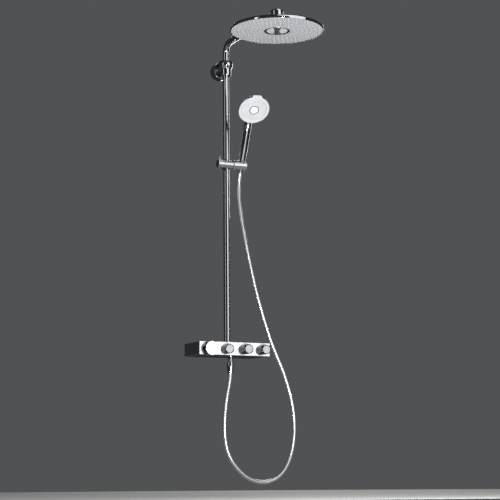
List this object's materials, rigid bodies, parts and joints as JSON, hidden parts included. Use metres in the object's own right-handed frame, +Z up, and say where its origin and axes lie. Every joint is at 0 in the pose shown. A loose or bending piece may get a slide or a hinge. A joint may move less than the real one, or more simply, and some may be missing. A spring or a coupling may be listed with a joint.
{
  "type": "rainfall shower column",
  "caption": "Wall-mounted chrome shower column: thermostat with push knobs, riser rail, swivel arm with round rain shower, and a hand shower on a slider with its hose.",
  "frame": {"origin": "centre of the thermostat's back plate, on the wall plane", "axes": "+Y into the wall, +Z up the riser rail, +X to the right of someone facing the wall"},
  "size_m": [0.4091, 0.6214, 1.562],
  "materials": {
    "chrome": "polished",
    "steel": "plain",
    "brass": "machined",
    "white_plastic": "satin",
    "grey_plastic": "satin",
    "black_plastic": "satin",
    "silicone": "matte",
    "hose": "smooth silver"
  },
  "bodies": {
    "column": {"back_plate": "steel", "thermostat_casing": "chrome", "front_plate": "white_plastic", "end_cap_left": "chrome", "end_cap_right": "chrome", "mixer_body": "brass", "inlet_nipple_left": "brass", "inlet_nut_left": "brass", "inlet_nipple_right": "brass", "inlet_nut_right": "brass", "riser_collar": "chrome", "riser_rail": "chrome", "temperature_cartridge": "black_plastic", "hand_valve_cartridge": "black_plastic", "middle_valve_cartridge": "black_plastic", "rain_valve_cartridge": "black_plastic", "outlet_nipple": "chrome", "hose_nut": "chrome", "shower_hose": "hose", "bracket_block": "steel", "bracket_drum": "chrome", "bracket_stem": "chrome", "rail_socket": "chrome", "swivel_ring": "black_plastic"},
    "arm": {"swivel_spigot": "brass", "shower_arm": "chrome", "arm_hub": "chrome", "ball_stud": "steel"},
    "ball_seat": {"ball_seat": "black_plastic"},
    "rain_shower": {"ball_nut": "chrome", "rain_shell": "chrome", "nozzle_mat": "silicone", "spray_plate": "white_plastic", "centre_ring": "chrome", "centre_plate": "grey_plastic", "centre_bridge": "grey_plastic"},
    "temperature_control": {"temperature_stem": "brass", "temperature_dial": "chrome"},
    "hand_push_stem": {"hand_valve_stem": "brass", "hand_knob_cap": "white_plastic"},
    "hand_flow_grip": {"hand_knob_grip": "chrome"},
    "middle_push_stem": {"middle_valve_stem": "brass", "middle_knob_cap": "white_plastic"},
    "middle_flow_grip": {"middle_knob_grip": "chrome"},
    "rain_push_stem": {"rain_valve_stem": "brass", "rain_knob_cap": "white_plastic"},
    "rain_flow_grip": {"rain_knob_grip": "chrome"},
    "slider": {"slider_body": "chrome", "slider_liner": "black_plastic"},
    "clamp": {"clamp_knob": "chrome", "clamp_lever": "chrome", "clamp_screw": "steel"},
    "holder": {"hand_holder": "chrome", "holder_pivot": "steel"},
    "hand_shower": {"hand_shower_body": "chrome", "hand_face_plate": "white_plastic", "hand_centre_button": "white_plastic", "hose_cone": "chrome"},
    "selector": {"spray_selector": "white_plastic"}
  },
  "joints": [
    {"name": "arm_swivel", "type": "hinge", "parent": "column", "child": "arm", "pos_m": [0, -0.065, 1.0246], "axis": [0, 0, 1], "range_deg": [-60, 60]},
    {"name": "rain_tilt_front", "type": "hinge", "parent": "arm", "child": "ball_seat", "pos_m": [0, -0.466, 1.062], "axis": [1, 0, 0], "range_deg": [-12, 12]},
    {"name": "rain_tilt_side", "type": "hinge", "parent": "ball_seat", "child": "rain_shower", "pos_m": [0, -0.466, 1.062], "axis": [0, 1, 0], "range_deg": [-12, 12]},
    {"name": "temperature_turn", "type": "hinge", "parent": "column", "child": "temperature_control", "pos_m": [-0.10325, -0.15, -0.0035], "axis": [0, 1, 0], "range_deg": [-120, 120]},
    {"name": "hand_push", "type": "slide", "parent": "column", "child": "hand_push_stem", "axis": [0, 1, 0], "range_m": [-0.012, 0]},
    {"name": "hand_flow_turn", "type": "hinge", "parent": "hand_push_stem", "child": "hand_flow_grip", "pos_m": [-0.03675, -0.15, -0.0035], "axis": [0, 1, 0], "range_deg": [-135, 135]},
    {"name": "middle_push", "type": "slide", "parent": "column", "child": "middle_push_stem", "axis": [0, 1, 0], "range_m": [0, 0.012]},
    {"name": "middle_flow_turn", "type": "hinge", "parent": "middle_push_stem", "child": "middle_flow_grip", "pos_m": [0.02975, -0.15, -0.0035], "axis": [0, 1, 0], "range_deg": [-135, 135]},
    {"name": "rain_push", "type": "slide", "parent": "column", "child": "rain_push_stem", "axis": [0, 1, 0], "range_m": [0, 0.012]},
    {"name": "rain_flow_turn", "type": "hinge", "parent": "rain_push_stem", "child": "rain_flow_grip", "pos_m": [0.09625, -0.15, -0.0035], "axis": [0, 1, 0], "range_deg": [-135, 135]},
    {"name": "slider_height", "type": "slide", "parent": "column", "child": "slider", "axis": [0, 0, 1], "range_m": [-0.45, 0.08], "deforming": ["shower_hose"]},
    {"name": "clamp_turn", "type": "hinge", "parent": "slider", "child": "clamp", "pos_m": [-0.03, -0.083, 0.65], "axis": [1, 0, 0], "range_deg": [-90, 90]},
    {"name": "holder_tilt", "type": "hinge", "parent": "slider", "child": "holder", "pos_m": [0.04, -0.083, 0.65], "axis": [1, 0, 0], "range_deg": [-15, 20], "deforming": ["shower_hose"]},
    {"name": "hand_lift", "type": "slide", "parent": "holder", "child": "hand_shower", "axis": [0, -0.3714, 0.9285], "range_m": [0, 0.075], "deforming": ["shower_hose"]},
    {"name": "spray_select", "type": "hinge", "parent": "hand_shower", "child": "selector", "pos_m": [0.042, -0.204, 0.823], "axis": [-0.115, -0.6602, -0.7422], "range_deg": [-25, 25]}
  ]
}
